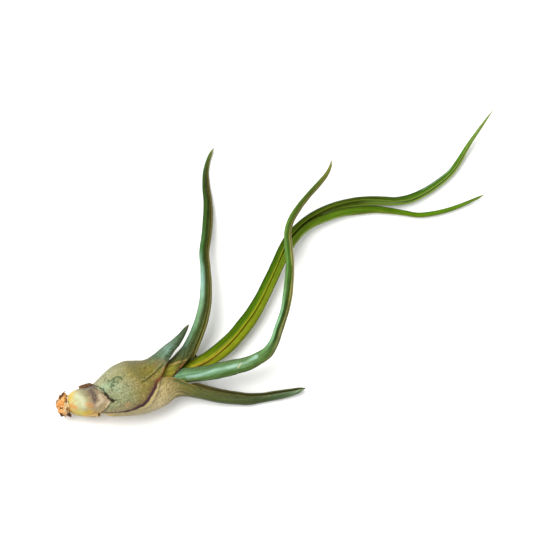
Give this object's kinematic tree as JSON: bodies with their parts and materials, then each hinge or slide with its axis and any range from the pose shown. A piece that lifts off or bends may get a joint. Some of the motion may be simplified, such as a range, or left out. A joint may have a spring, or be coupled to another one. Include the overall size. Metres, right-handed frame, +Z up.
{
  "type": "air plant",
  "caption": "Small air plant lying down: a swollen bulb of wrapped sheaths, a torn stem end, and long rolled leaves fanned out.",
  "frame": {"origin": "centre of the plant's box, on the surface that it lies on", "axes": "+X from the stem end towards the long leaf's tip, +Y the way the upright leaf points, +Z up from the surface"},
  "size_m": [0.1666, 0.1172, 0.0227],
  "materials": {
    "stem": "torn, fibrous",
    "old_sheath": "dry, papery",
    "leaf_short": "matt, scurfy",
    "leaf_low": "matt, scurfy",
    "leaf_upright": "satin",
    "leaf_kinked": "satin",
    "leaf_long": "satin",
    "leaf_inner": "satin"
  },
  "bodies": {
    "root": {"stem": "stem", "old_sheath": "old_sheath", "leaf_short": "leaf_short", "leaf_low": "leaf_low", "leaf_upright": "leaf_upright", "leaf_kinked": "leaf_kinked", "leaf_long": "leaf_long", "leaf_inner": "leaf_inner"}
  },
  "joints": []
}
